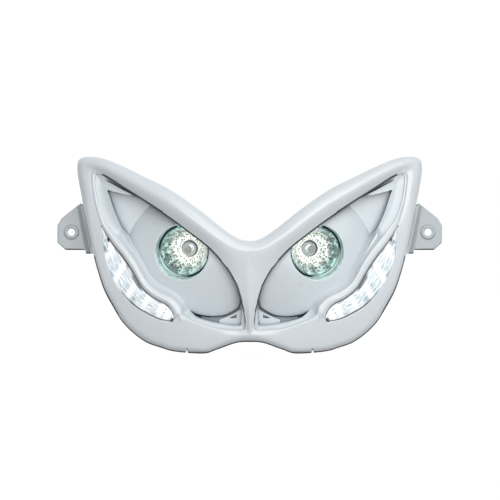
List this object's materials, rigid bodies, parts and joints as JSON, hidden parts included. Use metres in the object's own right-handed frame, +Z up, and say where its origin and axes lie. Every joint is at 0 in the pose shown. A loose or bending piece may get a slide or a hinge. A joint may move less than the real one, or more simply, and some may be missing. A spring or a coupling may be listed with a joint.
{
  "type": "twin-lamp scooter headlight",
  "caption": "Scooter headlight in a sculpted white mask, with two eye openings, round reflector lamps, crescent light strips and two fixing ears.",
  "frame": {"origin": "midway between the two ear holes, on the back face of the ears", "axes": "+Z up, the lamps face -Y, +X to the right as seen from the front"},
  "size_m": [0.398, 0.1058, 0.2021],
  "materials": {
    "white_paint": "gloss",
    "white_moulding": "gloss",
    "dichroic_glass": "gloss",
    "clear_glass": "gloss",
    "capsule_glass": "gloss",
    "white_ceramic": "satin",
    "spring_steel": "satin",
    "clear_lens": "gloss",
    "chromed_tray": "gloss",
    "circuit_board": "matte",
    "chip_glow": "gloss",
    "black_housing": "matte",
    "black_rubber": "matte",
    "zinc_screws": "satin"
  },
  "bodies": {
    "root": {"fascia": "white_paint", "left_eye_bezel": "white_moulding", "right_eye_bezel": "white_moulding", "left_eyeball": "white_moulding", "right_eyeball": "white_moulding", "left_lamp_reflector": "dichroic_glass", "right_lamp_reflector": "dichroic_glass", "left_lamp_glass": "clear_glass", "right_lamp_glass": "clear_glass", "left_lamp_capsule": "capsule_glass", "right_lamp_capsule": "capsule_glass", "left_lamp_base": "white_ceramic", "right_lamp_base": "white_ceramic", "left_lamp_ring": "spring_steel", "right_lamp_ring": "spring_steel", "left_lamp_socket": "white_ceramic", "right_lamp_socket": "white_ceramic", "left_strip_lens": "clear_lens", "right_strip_lens": "clear_lens", "left_strip_tray": "chromed_tray", "right_strip_tray": "chromed_tray", "left_strip_board": "circuit_board", "right_strip_board": "circuit_board", "left_strip_chips": "chip_glow", "right_strip_chips": "chip_glow", "rear_housing": "black_housing", "left_dust_cap": "black_rubber", "right_dust_cap": "black_rubber", "cable_grommet": "black_rubber", "housing_screws": "zinc_screws", "eyeball_screws": "zinc_screws"}
  },
  "joints": []
}
